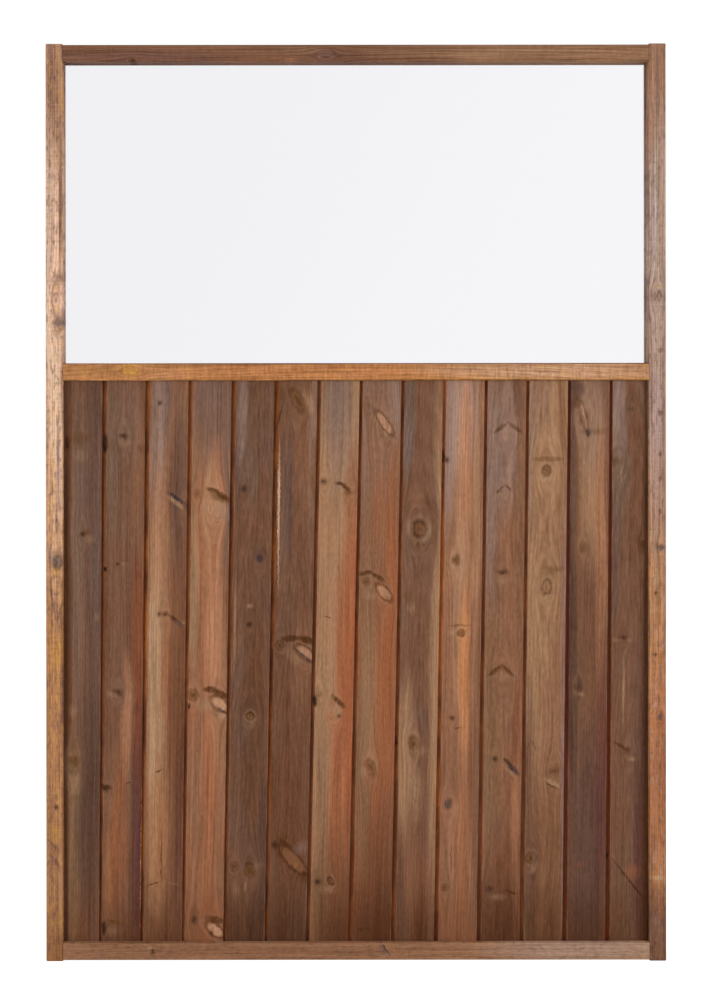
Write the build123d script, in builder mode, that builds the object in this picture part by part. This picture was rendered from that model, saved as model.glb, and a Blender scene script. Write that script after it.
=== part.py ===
from build123d import *
from math import ceil, cos, radians, sin
import os

# Privacy fence panel: a screwed softwood frame with tongue-and-groove boards
# below the middle rail and a clear pane above it. All sizes are in millimetres.
# X runs along the fence, the front looks along -Y, Z is up. The origin is in the
# middle of the frame's width and depth, level with the feet of the stiles.

# Frame
panel_width = 1200.0
panel_height = 1775.0
member_face = 33.0  # width of every stile and rail seen from the front
member_depth = 45.0  # front to back
member_arris = 2.5  # rounding of the long edges
end_bevel = 1.2  # bevel round the sawn ends of the stiles
stile_overrun = 2.0  # stiles run this far past the top and bottom rails
pane_opening_height = 584.0  # clear height between the middle and top rails

# Grooves, routed as a ring round each of the two openings
groove_depth = 11.0
board_groove_setback = 10.7  # front of the frame to the front wall of the groove
board_groove_clearance = 0.3  # each side of a board
pane_groove_setback = 24.6
pane_groove_clearance = 0.4  # each side of the pane

# Boards: tongue on the left edge, groove on the right edge
board_thickness = 15.0
board_face_width = 75.0
board_arris = 1.8  # rounding of the front edges
joint_gap = 7.0  # shadow gap between two board faces, where the tongue shows
back_gap = 2.5  # gap between two boards on the back
tongue_length = 12.0
tongue_thickness = 5.0
tongue_setback = 5.2  # board face to the front of the tongue
tongue_bevel = 1.0
slot_depth = 8.0  # groove that takes the neighbour's tongue
slot_clearance = 0.25  # each side of the tongue
row_seat = 6.0  # the row may reach this far into the stiles
least_seat = 2.5  # and the faces of the outer boards reach at least this far
board_head_seat = 8.0  # how far the boards reach up into the middle rail
board_foot_gap = 0.3  # lowest corner of a board to the floor of the groove

# Lean of the boards, which were fitted a little out of plumb: least beside the
# stiles and most at the peak of the fan
lean_at_stile = 0.41  # degrees
lean_at_peak = 1.33
peak_place = 0.42  # share of the row, from the left

# Pane
pane_thickness = 4.0
pane_edge_gap = 3.0  # sides and top of the pane to the floor of the groove
pane_foot_gap = 0.3

# Countersunk screws through the stiles into the ends of the rails: two side by side
# at the top and bottom, and one at the middle rail, which boards and pane keep square
screw_length = 80.0
screw_radius = 2.5
screw_head_radius = 5.0
screw_tip = 8.0  # length of the point
screw_sink = 0.5  # head below the face of the stile
screw_hole_clearance = 0.15
screw_spacing = 22.0  # between the two screws of a pair, front to back

# Frame lines worked out from the sizes above
front_y = -member_depth / 2
opening_half = panel_width / 2 - member_face
opening_width = 2 * opening_half
bottom_rail_z = stile_overrun
top_rail_z = panel_height - stile_overrun - member_face
middle_rail_z = top_rail_z - pane_opening_height - member_face
boards_low_z = bottom_rail_z + member_face
boards_middle_z = (boards_low_z + middle_rail_z) / 2
pane_low_z = middle_rail_z + member_face

board_groove_width = board_thickness + 2 * board_groove_clearance
board_groove_y = front_y + board_groove_setback + board_groove_width / 2
pane_groove_width = pane_thickness + 2 * pane_groove_clearance
pane_groove_y = front_y + pane_groove_setback + pane_groove_width / 2
board_groove = (board_groove_y, board_groove_width)
pane_groove = (pane_groove_y, pane_groove_width)

# Board row: whole boards are set out from the middle of the opening, as many as it
# takes, and the outer ones are ripped alike
board_front_y = board_groove_y - board_thickness / 2
board_back_y = board_groove_y + board_thickness / 2
tongue_y = board_front_y + tongue_setback + tongue_thickness / 2
board_pitch = board_face_width + joint_gap
row_half = opening_half + row_seat
board_count = ceil((opening_width + 2 * least_seat + joint_gap) / board_pitch)

# Screw holes
hole_radius = screw_radius + screw_hole_clearance
sink_radius = screw_head_radius + screw_sink + screw_hole_clearance
hole_depth = screw_sink + screw_length + screw_hole_clearance

pieces = []


def keep(solid, name):
    """Label a finished piece and put it in the list that is written at the end."""
    solid.label = name
    pieces.append(solid)


def member_section(centre, width, height):
    """Section with rounded corners that stiles and rails share, in the current sketch."""
    with Locations(centre):
        section = Rectangle(width, height)
    fillet(section.vertices(), member_arris)


def screw_places(side):
    """Planes on the outer face of a stile, one for each screw, looking outwards."""
    pair = (-screw_spacing / 2, screw_spacing / 2)
    rows = ((bottom_rail_z, pair), (middle_rail_z, (0,)), (top_rail_z, pair))
    return [
        Plane(origin=(side * panel_width / 2, y, low_z + member_face / 2), z_dir=(side, 0, 0))
        for low_z, places_y in rows
        for y in places_y
    ]


def make_stile(side):
    """Upright with a stopped groove beside each opening and countersunk screw holes."""
    openings = (
        (board_groove, boards_low_z, middle_rail_z),
        (pane_groove, pane_low_z, top_rail_z),
    )
    with BuildPart() as stile:
        with BuildSketch(Plane.XY):
            centre_x = side * (opening_half + member_face / 2)
            member_section((centre_x, 0), member_face, member_depth)
        extrude(amount=panel_height)
        ends = stile.edges().group_by(Axis.Z)
        chamfer(ends[0] + ends[-1], end_bevel)
        for (groove_y, groove_width), low_z, high_z in openings:
            centre_x = side * (opening_half + groove_depth / 2)
            with Locations((centre_x, groove_y, (low_z + high_z) / 2)):
                Box(
                    groove_depth,
                    groove_width,
                    high_z - low_z + 2 * groove_depth,
                    mode=Mode.SUBTRACT,
                )
        with Locations(*screw_places(side)):
            CounterSinkHole(hole_radius, sink_radius, member_face, 90)
    return stile.part


def make_rail(low_z, groove_below=None, groove_above=None):
    """Cross member between the stiles, grooved on the edges that face an opening."""
    high_z = low_z + member_face
    with BuildPart() as rail:
        with BuildSketch(Plane.YZ.offset(-opening_half)):
            member_section((0, (low_z + high_z) / 2), member_depth, member_face)
            for groove, edge_z, edge_align in (
                (groove_below, low_z, Align.MIN),
                (groove_above, high_z, Align.MAX),
            ):
                if groove:
                    groove_y, groove_width = groove
                    with Locations((groove_y, edge_z)):
                        Rectangle(
                            groove_width,
                            groove_depth,
                            align=(Align.CENTER, edge_align),
                            mode=Mode.SUBTRACT,
                        )
        extrude(amount=opening_width)
        for side in (-1, 1):
            ends = [place.offset(-member_face) for place in screw_places(side)]
            ends = [end for end in ends if low_z < end.origin.Z < high_z]
            with Locations(*ends):
                Hole(hole_radius, hole_depth - member_face)
    return rail.part


def board_lean(index):
    """Lean in degrees of a board, counted from the left."""
    place = index / (board_count - 1)
    if place < peak_place:
        share = place / peak_place
    else:
        share = (1 - place) / (1 - peak_place)
    return lean_at_stile + (lean_at_peak - lean_at_stile) * share


def make_board(index):
    """Tongue-and-groove board, ripped where it would pass the seat in a stile."""
    lean = radians(board_lean(index))
    half_face = board_face_width / 2
    centre_x = (index - (board_count - 1) / 2) * board_pitch
    corner_drop = (half_face + tongue_length) * sin(lean)
    foot_z = boards_low_z - groove_depth + board_foot_gap + corner_drop
    head_z = middle_rail_z + board_head_seat
    # Each board passes its own place in the row at the middle of the field's height
    up_board = Vector(sin(lean), 0, cos(lean))
    across_board = Vector(cos(lean), 0, -sin(lean))
    field_middle = Vector(centre_x, 0, boards_middle_z)
    plane = Plane(origin=field_middle, x_dir=across_board, z_dir=up_board)
    back_shoulder = board_thickness - tongue_setback - tongue_thickness
    left_cut = max(-half_face - tongue_length, -row_half - centre_x)
    right_cut = min(half_face, row_half - centre_x)
    with BuildPart() as board:
        with BuildSketch(plane.offset((foot_z - boards_middle_z) / cos(lean))):
            # The sketch's own Y runs from the front of the board to its back
            with Locations((0, board_front_y)):
                face = Rectangle(
                    board_face_width, board_thickness, align=(Align.CENTER, Align.MIN)
                )
            fillet(face.vertices().group_by(Axis.Y)[0], board_arris)
            with Locations((-half_face, tongue_y)):
                tongue = Rectangle(
                    tongue_length, tongue_thickness, align=(Align.MAX, Align.CENTER)
                )
            chamfer(tongue.vertices().group_by(Axis.X)[0], tongue_bevel)
            with Locations((-half_face, board_back_y)):
                Rectangle(joint_gap - back_gap, back_shoulder, align=(Align.MAX, Align.MAX))
            with Locations((half_face, tongue_y)):
                Rectangle(
                    slot_depth,
                    tongue_thickness + 2 * slot_clearance,
                    align=(Align.MAX, Align.CENTER),
                    mode=Mode.SUBTRACT,
                )
            with Locations((left_cut, board_front_y)):
                Rectangle(
                    right_cut - left_cut,
                    board_thickness,
                    align=(Align.MIN, Align.MIN),
                    mode=Mode.INTERSECT,
                )
        extrude(amount=(head_z - foot_z) / cos(lean))
    return board.part


def make_pane():
    """Clear pane that stands on the middle rail, held all round by the groove."""
    foot_z = pane_low_z - groove_depth + pane_foot_gap
    head_z = top_rail_z + groove_depth - pane_edge_gap
    with BuildPart() as pane:
        with Locations((0, pane_groove_y, foot_z)):
            Box(
                opening_width + 2 * (groove_depth - pane_edge_gap),
                pane_thickness,
                head_z - foot_z,
                align=(Align.CENTER, Align.CENTER, Align.MIN),
            )
    return pane.part


def make_screw():
    """Countersunk wood screw that points down, with the stile's face at height zero."""
    neck = -screw_sink - (screw_head_radius - screw_radius)
    point = -screw_sink - screw_length
    with BuildPart() as screw:
        with BuildSketch(Plane.XZ):
            with BuildLine():
                Polyline(
                    (0, -screw_sink),
                    (screw_head_radius, -screw_sink),
                    (screw_radius, neck),
                    (screw_radius, point + screw_tip),
                    (0, point),
                    close=True,
                )
            make_face()
        revolve(axis=Axis.Z)
    return screw.part


def make_screws(side):
    """The screws of one stile, as a group of separate solids."""
    screw = make_screw()
    with BuildPart() as screws:
        with Locations(*screw_places(side)):
            add(screw)
    return screws.part


keep(make_stile(-1), "stile_left")
keep(make_stile(1), "stile_right")
keep(make_rail(bottom_rail_z, groove_above=board_groove), "rail_bottom")
keep(make_rail(middle_rail_z, board_groove, pane_groove), "rail_middle")
keep(make_rail(top_rail_z, groove_below=pane_groove), "rail_top")
for number in range(board_count):
    keep(make_board(number), f"board_{number + 1:02d}")
keep(make_pane(), "pane")
keep(make_screws(-1), "screws_left")
keep(make_screws(1), "screws_right")

os.makedirs("parts", exist_ok=True)
for piece in pieces:
    export_step(piece, f"parts/{piece.label}.step")
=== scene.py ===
import bpy
import bmesh
from math import atan2, cos, degrees, hypot, pi, radians, sin
from mathutils import Matrix, Vector


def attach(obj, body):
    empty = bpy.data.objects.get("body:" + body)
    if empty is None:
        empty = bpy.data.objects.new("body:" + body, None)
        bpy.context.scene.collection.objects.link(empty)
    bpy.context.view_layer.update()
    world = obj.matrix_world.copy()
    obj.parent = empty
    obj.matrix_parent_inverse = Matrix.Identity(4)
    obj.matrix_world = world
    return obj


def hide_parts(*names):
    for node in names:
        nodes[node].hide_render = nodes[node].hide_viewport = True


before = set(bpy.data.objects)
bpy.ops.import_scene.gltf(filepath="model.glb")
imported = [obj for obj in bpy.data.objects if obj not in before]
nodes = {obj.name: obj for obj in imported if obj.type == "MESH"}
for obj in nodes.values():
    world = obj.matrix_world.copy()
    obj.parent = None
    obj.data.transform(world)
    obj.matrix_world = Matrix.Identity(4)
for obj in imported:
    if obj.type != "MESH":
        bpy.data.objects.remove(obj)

# Privacy fence panel: brown stained pine boards in a pine frame, clear pane on top.
scene = bpy.context.scene
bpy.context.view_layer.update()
mm = 0.001

print("stage 1: camera")

camera = dict(
    x=-0.138, y=-2.9225, z=1.221,  # a little left of the middle, level with the middle rail
    lens=53.98, sensor=36.0,
    shiftX=0.0745, shiftY=-0.17,
    roll=radians(0.05),  # right side of the picture sits a touch high
)
picture = dict(wide=718, high=1000)  # the photograph's frame, in pixels

cameraData = bpy.data.cameras.new("studioCamera")
cameraData.lens = camera["lens"]
cameraData.sensor_width = camera["sensor"]
cameraData.sensor_fit = "AUTO"
cameraData.shift_x = camera["shiftX"]
cameraData.shift_y = camera["shiftY"]
cameraObject = bpy.data.objects.new("studioCamera", cameraData)
cameraObject.location = (camera["x"], camera["y"], camera["z"])
cameraObject.rotation_euler = (pi / 2, camera["roll"], 0)
scene.collection.objects.link(cameraObject)
scene.camera = cameraObject
scene.view_settings.view_transform = "Standard"


def pictureToFace(px, py, faceY):  # x and z on the plane at faceY that show at a pixel
    across = (px - picture["wide"] / 2) / picture["high"] + camera["shiftX"]
    up = (picture["high"] / 2 - py) / picture["high"] + camera["shiftY"]
    reach = (faceY - camera["y"]) * camera["sensor"] / camera["lens"]
    x = camera["x"] + (across * cos(camera["roll"]) + up * sin(camera["roll"])) * reach
    z = camera["z"] + (up * cos(camera["roll"]) - across * sin(camera["roll"])) * reach
    return x, z


print("stage 2: colours and node helpers")


def toLinear(code):
    channels = [int(code[i:i + 2], 16) / 255 for i in (1, 3, 5)]
    return [c / 12.92 if c <= 0.04045 else ((c + 0.055) / 1.055) ** 2.4 for c in channels]


def paint(code, alpha=1.0):
    return (*toLinear(code), alpha)


def addNode(tree, kind, inputs=None, **settings):
    node = tree.nodes.new("ShaderNode" + kind)
    for name, value in settings.items():
        setattr(node, name, value)
    for name, value in (inputs or {}).items():
        if isinstance(value, bpy.types.Node):
            value = value.outputs[0]
        if isinstance(value, bpy.types.NodeSocket):
            tree.links.new(value, node.inputs[name])
        else:
            node.inputs[name].default_value = value
    return node


def fillRamp(node, stops):
    elements = node.color_ramp.elements
    while len(elements) > 1:
        elements.remove(elements[-1])
    elements[0].position, elements[0].color = stops[0]
    for position, colour in stops[1:]:
        elements.new(position).color = colour


def newMaterial(name):
    material = bpy.data.materials.new(name)
    material.use_nodes = True
    material.node_tree.nodes.clear()
    return material, material.node_tree


mixFactor, mixFirst, mixSecond, mixResult = 0, 6, 7, 2  # sockets of the Mix node for colours

# Tones of the brown stain, from the wood below it and the light on it
stain = dict(
    greyBrown="#7a6050", warmBrown="#76513c", chestnut="#8a5f45", cocoa="#6a4029",
    darkBrown="#4f3020", umber="#4f2c12", redBrown="#84492f", purpleBrown="#6b4a40",
    plum="#5f443a", plumGrey="#6a5248", plumRed="#5a3030", dusk="#4e3930",
    honey="#a57c5c", paleHoney="#b48d6c", salmon="#b07a5a", rust="#a0603e", brick="#a65c3a",
    orange="#b9794c", orangeTan="#ab774c", tan="#b98a63", pinkTan="#d8b096",
    olive="#86664a", yellowStain="#c9933e", cream="#cfae8e", pinkGrey="#93776a",
    ash="#b9a79d", ashPink="#ad9283", lilac="#84707a", blueGrey="#5c5560",
    # knots, their rims and the pale wood round them
    knotHeart="#714727", knotRim="#3c2010", knotBlack="#25140c", goldHeart="#775030",
    goldStain="#66421f", halo="#a58162", eyePale="#b58767", leafFill="#8a5c3c",
    blueBlack="#2f2c33",
    # stain pooled in the joints
    jointBrown="#8c4f29", jointRust="#a65c26", jointRed="#75301b", jointDark="#683319",
)

# What each kind of mark looks like from its middle outwards: how far out in half
# sizes, the tone, and how much it covers. None stands for the mark's own tone.
markKinds = dict(
    stripe=[(0, None, 1), (0.5, None, 0.8), (1, None, 0)],
    smudge=[(0, None, 0.75), (0.4, None, 0.5), (1.15, None, 0)],
    fleck=[(0, None, 1), (0.6, None, 0.9), (1.1, None, 0)],
    ring=[(0, None, 0), (0.6, None, 0.05), (0.92, None, 0.7), (1.25, None, 0)],
    round=[(0, "knotRim", 0.7), (0.25, "knotHeart", 0.8), (0.6, "knotHeart", 0.8),
           (0.88, "knotRim", 0.75), (1.12, "knotRim", 0.3), (1.4, "halo", 0.3), (2, "halo", 0)],
    gold=[(0, "umber", 0.9), (0.35, "goldStain", 0.85), (0.7, "goldHeart", 0.7),
          (0.95, "umber", 0.45), (1.25, "umber", 0.15), (1.5, "halo", 0.1), (2.1, "halo", 0)],
    pin=[(0, "knotBlack", 0.8), (0.6, "knotRim", 0.75), (1.2, "knotRim", 0.35),
         (2, "goldStain", 0)],
    blue=[(0, "blueBlack", 0.85), (0.7, "blueBlack", 0.75), (1.3, "plum", 0.35),
          (2, "plum", 0)],
    eye=[(0, "eyePale", 0.9), (0.6, "eyePale", 0.8), (0.92, "umber", 0.65),
         (1.1, "umber", 0.25), (1.3, "halo", 0.2), (1.9, "halo", 0)],
    leaf=[(0, "leafFill", 0.8), (0.6, "leafFill", 0.75), (0.88, "umber", 0.85),
          (1.1, "umber", 0.3), (1.4, "umber", 0)],
)


# A mark stands where the photograph shows it: px and py are its middle in the picture, and
# wide, tall, thick and bend are in picture pixels too, about 1.94 mm each on the boards
def spot(kind, px, py, wide, tall, tilt=0, tone=None, strength=1, bend=0):
    return dict(kind=kind, px=px, py=py, wide=wide, tall=tall, tilt=tilt, tone=tone,
                strength=strength, bend=bend)


def streak(tone, px, py, toPx, toPy, thick, strength=1, kind="fleck"):
    across, down = toPx - px, toPy - py
    return spot(kind, (px + toPx) / 2, (py + toPy) / 2, thick, hypot(across, down),
                degrees(atan2(-across, down)), tone, strength)


def stripe(tone, px, wide, top, foot, strength=0.8):  # up a board or a stile
    return spot("stripe", px, (top + foot) / 2, wide, foot - top, 0, tone, strength)


def band(tone, px, py, wide, tall, strength):  # along a rail
    return spot("stripe", px, py, wide, tall, 0, tone, strength)


def smudge(tone, px, py, wide, tall, strength=1, tilt=0, bend=0):
    return spot("smudge", px, py, wide, tall, tilt, tone, strength, bend)


def fleck(tone, px, py, wide, tall, strength=1, tilt=0, bend=0):
    return spot("fleck", px, py, wide, tall, tilt, tone, strength, bend)


print("stage 3: stained pine")

# Slow-grown pine, planed and dipped in brown stain: streaks run along the grain and
# part round the knots, and the surface stays matt
pine = dict(
    swayMm=7,  # how far the grain wanders
    raggedMm=3.4,  # how far the edges of knots and stains wander
    raggedPale=0.72,  # cover left where they are broken
    knotStretch=2.3, knotSoft=0.3,  # grain parts this much further along than across
    ringStreakMm=14, ringFibreMm=2,  # year rings bend with the streaks and fibres
    ringFlat=0.6, ringLine=0.4, ringBreak=1.6,  # and break where there are few pores
    streakDepth=0.42, fibreDepth=0.75, poreDepth=0.6, ringDepth=0.3, chatterDepth=0.5,
    darkGrain=(0.62, 0.56, 0.51), paleGrain=(1.38, 1.44, 1.49),  # dark streaks are redder
    roughness=0.6, roughnessSpread=0.16,
    reliefMm=0.5, reliefStrength=0.25,
    ior=1.5, specular=0.08,  # dry, open surface
    noiseRoughness=0.55,
    throughMm=1e6,  # knots and stains run right through the wood
)

# Noise in the wood: its size in mm across the face, into the wood and along the grain.
# Where a tone shows only in patches, it starts at low and is full at high.
patterns = dict(
    sway=dict(mm=(60, 60, 330), detail=1, shift=4.2),
    streak=dict(mm=(13, 30, 520), detail=2, shift=0),  # bands of sapwood and heartwood
    fibre=dict(mm=(4, 14, 150), detail=2, shift=9.1),  # four times as coarse as real, to show
    pore=dict(mm=(3.4, 3, 12), detail=1, shift=2.7),  # pores and resin, also drawn coarser
    chatter=dict(mm=(22, 30, 4.2), detail=2, shift=21.3),  # cutter marks on frame timber
    ragged=dict(mm=(6, 20, 9.6), detail=2, shift=6.6, low=0.35, high=0.6),
    blotch=dict(mm=(34, 40, 150), detail=2, shift=12.4, low=0.45, high=0.75),
    second=dict(mm=(16, 40, 60), detail=2, shift=3.3, low=0.5, high=0.72),
    # flecks where the plane skipped, also drawn coarser
    fleck=dict(mm=(4.5, 30, 15), detail=3, shift=17.5, low=0.52, high=0.66),
    worn=dict(mm=(30, 30, 60), detail=2, shift=1.9, low=0.45, high=0.6),
    pooled=dict(mm=(30, 30, 90), detail=3, shift=8.8, low=0.35, high=0.6),
)
seedStep = dict(x=7.3, y=3.1, z=11.7)  # sets the noise of one piece apart from the next
fleckStep = 9.3  # and of one fleck tone from the next
secondShare = 0.7  # cover of the second tone of frame timber
arris = dict(innerMm=35.2, outerMm=36.6, share=0.35)  # rubbed edges, from a board's middle
jointStainAndShade = dict(
    frontMm=(1.5, 3.4), backMm=(12.5, 14.2), share=0.9,  # depth from the board's face
    leftMm=-43.5, rightMm=-39.5, dark=0.5, pale=1.25,  # painted shade at the left of the gap, painted light towards its right
)
sawnEnd = dict(
    pithMm=(9, 31), ringMm=1.4, facingLow=0.75, facingHigh=0.9,
    tones=[(0.0, "#3a2214"), (0.35, "#5a3a26"), (1.0, "#7a553a")],
)


def stainedPine(name, recipe):
    material, tree = newMaterial(name)
    turn, seed = recipe["turn"], recipe["seed"]
    centreX, centreZ = recipe["centre"]
    pixelMm = (recipe["faceY"] - camera["y"]) * camera["sensor"] / camera["lens"]
    place = addNode(tree, "TexCoord").outputs["Object"]
    local = addNode(tree, "Mapping", {
        0: place, 1: (centreX, 0, centreZ), 2: (0, turn, 0), 3: (mm, mm, mm),
    }, vector_type="TEXTURE")
    parts = addNode(tree, "SeparateXYZ", {0: local})

    def onFace(px, py):  # mm across and along the grain at a pixel of the photograph
        x, z = pictureToFace(px, py, recipe["faceY"])
        across, up = (x - centreX) / mm, (z - centreZ) / mm
        return across * cos(turn) - up * sin(turn), across * sin(turn) + up * cos(turn)

    def noiseOn(vector, kind, apart=0):
        shift = patterns[kind]["shift"] + apart
        scaled = addNode(tree, "VectorMath", {
            0: vector, 1: [1 / size for size in patterns[kind]["mm"]],
            2: (seed * seedStep["x"] + shift, seed * seedStep["y"], seed * seedStep["z"] + shift),
        }, operation="MULTIPLY_ADD")
        return addNode(tree, "TexNoise", {
            "Vector": scaled, "Scale": 1.0, "Detail": patterns[kind]["detail"],
            "Roughness": pine["noiseRoughness"],
        })

    def patchesOf(noise, kind, least=0.0, most=1.0):
        low, high = patterns[kind]["low"], patterns[kind]["high"]
        return addNode(tree, "MapRange", {0: noise, 1: low, 2: high, 3: least, 4: most})

    # Grain parts round each knot that has a bend
    push = addNode(tree, "Math", {
        0: noiseOn(local, "sway"), 1: pine["swayMm"], 2: -pine["swayMm"] / 2,
    }, operation="MULTIPLY_ADD")
    for mark in recipe["marks"]:
        if mark["bend"]:
            across, along = onFace(mark["px"], mark["py"])
            radius = mark["bend"] * pixelMm
            near = addNode(tree, "Mapping", {
                0: local, 1: (across, 0, along),
                3: (radius, pine["throughMm"], radius * pine["knotStretch"]),
            }, vector_type="TEXTURE")
            square = addNode(tree, "VectorMath", {0: near, 1: near}, operation="DOT_PRODUCT")
            softer = addNode(tree, "Math", {0: square.outputs["Value"], 1: pine["knotSoft"]},
                             operation="ADD")
            side = addNode(tree, "SeparateXYZ", {0: near})
            share = addNode(tree, "Math", {0: side, 1: softer}, operation="DIVIDE")
            push = addNode(tree, "Math", {0: share, 1: radius, 2: push},
                           operation="MULTIPLY_ADD")
    pushed = addNode(tree, "CombineXYZ", {0: push})
    grain = addNode(tree, "VectorMath", {0: local, 1: pushed}, operation="SUBTRACT")

    streaks, fibre, pore = (noiseOn(grain, kind) for kind in ("streak", "fibre", "pore"))
    ring = recipe["rings"]
    ringPlace = addNode(tree, "VectorMath", {
        0: grain, 1: (1, pine["ringFlat"], ring["slope"]),
        2: (-ring["across"], ring["deep"], ring["start"]),
    }, operation="MULTIPLY_ADD")
    ringFar = addNode(tree, "VectorMath", {0: ringPlace}, operation="LENGTH").outputs["Value"]
    for noise, far in ((streaks, pine["ringStreakMm"]), (fibre, pine["ringFibreMm"])):
        ringFar = addNode(tree, "Math", {0: noise, 1: far, 2: ringFar},
                          operation="MULTIPLY_ADD")
    ringFold = addNode(tree, "Math", {0: ringFar, 1: ring["spacing"] / 2},
                       operation="PINGPONG")
    ringLine = addNode(tree, "MapRange", {
        0: ringFold, 1: 0.0, 2: ring["spacing"] * pine["ringLine"], 3: pine["ringBreak"], 4: 0.0,
    }, interpolation_type="SMOOTHSTEP")
    ringLine = addNode(tree, "Math", {0: ringLine, 1: pore}, operation="MULTIPLY")

    level = 1 - (pine["streakDepth"] + pine["fibreDepth"] + pine["poreDepth"]) / 2
    for noise, depth in (
        (streaks, pine["streakDepth"]), (fibre, pine["fibreDepth"] * recipe["figure"]),
        (pore, pine["poreDepth"]), (ringLine, -pine["ringDepth"] * ring["strength"]),
    ):
        level = addNode(tree, "Math", {0: noise, 1: depth, 2: level}, operation="MULTIPLY_ADD")

    shade = level
    if recipe.get("chatter"):
        lines = addNode(tree, "Math", {0: noiseOn(local, "chatter"), 1: 0.5},
                        operation="SUBTRACT")
        shade = addNode(tree, "Math", {
            0: lines, 1: pine["chatterDepth"] * recipe["chatter"], 2: level,
        }, operation="MULTIPLY_ADD")

    wander = pine["raggedMm"] * 2
    raggedNoise = noiseOn(local, "ragged")
    ragged = addNode(tree, "VectorMath", {
        0: raggedNoise.outputs["Color"], 1: (wander, 0, wander), 2: local,
    }, operation="MULTIPLY_ADD")
    patchy = patchesOf(raggedNoise, "ragged", pine["raggedPale"])

    def coverWith(colour, mark):
        across, along = onFace(mark["px"], mark["py"])
        kind = markKinds[mark["kind"]]
        reach = kind[-1][0]
        soft = mark["kind"] == "stripe"
        offset = 0 if soft else wander / 2
        halfWide, halfTall = (mark[size] / 2 * pixelMm * reach for size in ("wide", "tall"))
        near = addNode(tree, "Mapping", {
            0: grain if soft else ragged, 1: (across + offset, 0, along + offset),
            2: (0, 0 if soft else radians(mark["tilt"]) - turn, 0),
            3: (halfWide, pine["throughMm"], halfTall),
        }, vector_type="TEXTURE")
        far = addNode(tree, "VectorMath", {0: near}, operation="LENGTH").outputs["Value"]
        ramp = addNode(tree, "ValToRGB", {0: far})
        fillRamp(ramp, [
            (out / reach, paint(stain[tone or mark["tone"]], cover * mark["strength"]))
            for out, tone, cover in kind
        ])
        cover = ramp.outputs["Alpha"]
        if not soft:
            cover = addNode(tree, "Math", {0: cover, 1: patchy}, operation="MULTIPLY")
        return addNode(tree, "Mix", {mixFactor: cover, mixFirst: colour, mixSecond: ramp},
                       data_type="RGBA").outputs[mixResult]

    def mottle(colour, tone, kind, share, apart=0):
        cover = patchesOf(noiseOn(grain, kind, apart), kind, most=share)
        return addNode(tree, "Mix", {
            mixFactor: cover, mixFirst: colour, mixSecond: paint(stain[tone]),
        }, data_type="RGBA").outputs[mixResult]

    colour = mottle(paint(stain[recipe["base"]]), recipe["blotch"], "blotch",
                    recipe["blotchShare"])
    if recipe.get("second"):
        colour = mottle(colour, recipe["second"], "second", secondShare)
    for mark in recipe["marks"]:
        if mark["kind"] == "stripe":
            colour = coverWith(colour, mark)
    # Each tone of the flecks covers where its own noise is high
    for number, (tone, share) in enumerate(recipe.get("flecks", ())):
        colour = mottle(colour, tone, "fleck", share, fleckStep * number)
    # Darker towards the foot
    if recipe.get("footDark"):
        footRange = recipe["footDark"]
        height = addNode(tree, "SeparateXYZ", {0: place}).outputs[2]
        footDarkening = addNode(tree, "MapRange", {
            0: height, 1: footRange["high"] * mm, 2: footRange["low"] * mm, 3: 0.0, 4: 1.0,
        }, interpolation_type="SMOOTHSTEP")
        colour = addNode(tree, "Mix", {
            mixFactor: footDarkening, mixFirst: colour, mixSecond: (*footRange["level"], 1),
        }, data_type="RGBA", blend_type="MULTIPLY").outputs[mixResult]
    if recipe.get("edge"):
        # Arrises rubbed pale in places
        outward = addNode(tree, "Math", {0: parts}, operation="ABSOLUTE")
        outward = addNode(tree, "MapRange", {
            0: outward, 1: arris["innerMm"], 2: arris["outerMm"], 3: 0.0, 4: arris["share"],
        })
        worn = patchesOf(noiseOn(local, "worn"), "worn")
        worn = addNode(tree, "Math", {0: worn, 1: outward}, operation="MULTIPLY")
        colour = addNode(tree, "Mix", {
            mixFactor: worn, mixFirst: colour, mixSecond: paint(stain[recipe["edge"]]),
        }, data_type="RGBA").outputs[mixResult]
    if recipe.get("joint"):
        # Stain pooled in the joints, where the tongue shows, with painted shade and light across the gap
        start, full = (recipe["faceY"] / mm + deep for deep in jointStainAndShade["frontMm"])
        fading, gone = (recipe["faceY"] / mm + deep for deep in jointStainAndShade["backMm"])
        depth = parts.outputs[1]
        front = addNode(tree, "MapRange", {0: depth, 1: start, 2: full, 3: 0.0,
                                           4: jointStainAndShade["share"]})
        back = addNode(tree, "MapRange", {0: depth, 1: fading, 2: gone, 3: 1.0, 4: 0.0})
        pooled = addNode(tree, "Math", {0: front, 1: back}, operation="MULTIPLY")
        pool = addNode(tree, "Mix", {
            mixFactor: patchesOf(noiseOn(local, "pooled"), "pooled"),
            mixFirst: paint(stain["jointDark"]), mixSecond: paint(stain[recipe["joint"]]),
        }, data_type="RGBA").outputs[mixResult]
        # Painted shade at the left of the gap, painted light towards its right
        across = addNode(tree, "MapRange", {
            0: parts, 1: jointStainAndShade["leftMm"], 2: jointStainAndShade["rightMm"],
            3: jointStainAndShade["dark"], 4: jointStainAndShade["pale"],
        })
        pool = addNode(tree, "VectorMath", {0: pool, "Scale": across}, operation="SCALE")
        colour = addNode(tree, "Mix", {mixFactor: pooled, mixFirst: colour, mixSecond: pool},
                         data_type="RGBA").outputs[mixResult]
    for mark in recipe["marks"]:
        if mark["kind"] != "stripe":
            colour = coverWith(colour, mark)
    # The grain's shade is the share of red that is left
    share = addNode(tree, "MapRange", {
        0: shade, 1: pine["darkGrain"][0], 2: pine["paleGrain"][0],
    })
    tint = addNode(tree, "Mix", {
        mixFactor: share, mixFirst: (*pine["darkGrain"], 1), mixSecond: (*pine["paleGrain"], 1),
    }, data_type="RGBA").outputs[mixResult]
    colour = addNode(tree, "VectorMath", {0: colour, 1: tint}, operation="MULTIPLY")
    if recipe.get("endGrain"):
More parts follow.
